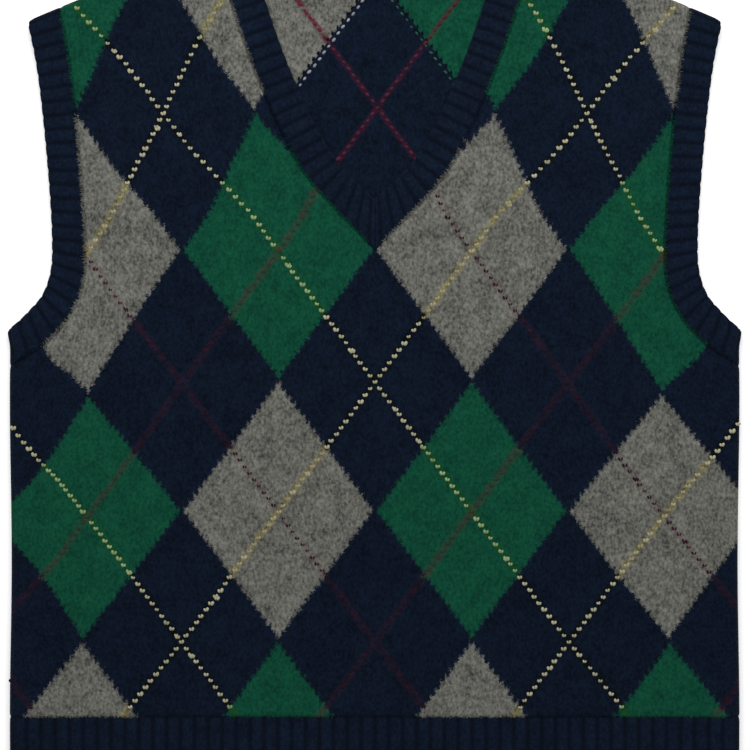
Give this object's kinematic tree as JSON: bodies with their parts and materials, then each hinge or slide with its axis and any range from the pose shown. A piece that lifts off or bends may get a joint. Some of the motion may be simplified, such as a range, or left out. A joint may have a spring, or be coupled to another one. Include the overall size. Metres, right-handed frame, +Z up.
{
  "type": "knitted argyle sweater vest, laid flat",
  "caption": "Sleeveless V-neck sweater in felted wool with an argyle pattern and ribbed neck, armholes and hem, laid flat with its front up.",
  "frame": {"origin": "middle of the footprint, on the surface the garment lies on", "axes": "+Z up out of the front, +Y from the hem to the shoulders, +X to the wearer's left"},
  "size_m": [0.51, 0.601, 0.009],
  "materials": {
    "argyle_knit": "stocking stitch in brushed lambswool, navy with bottle green and heather grey diamonds and yellow and crimson raker lines",
    "navy_rib": "2 by 2 rib in brushed navy lambswool"
  },
  "bodies": {
    "root": {"front_panel": "argyle_knit", "back_panel": "argyle_knit", "hem_rib_front": "navy_rib", "hem_rib_back": "navy_rib", "neck_band_back": "navy_rib", "neck_band_front_left": "navy_rib", "neck_band_front_right": "navy_rib", "armhole_band_left_front": "navy_rib", "armhole_band_left_back": "navy_rib", "armhole_band_right_front": "navy_rib", "armhole_band_right_back": "navy_rib"}
  },
  "joints": []
}
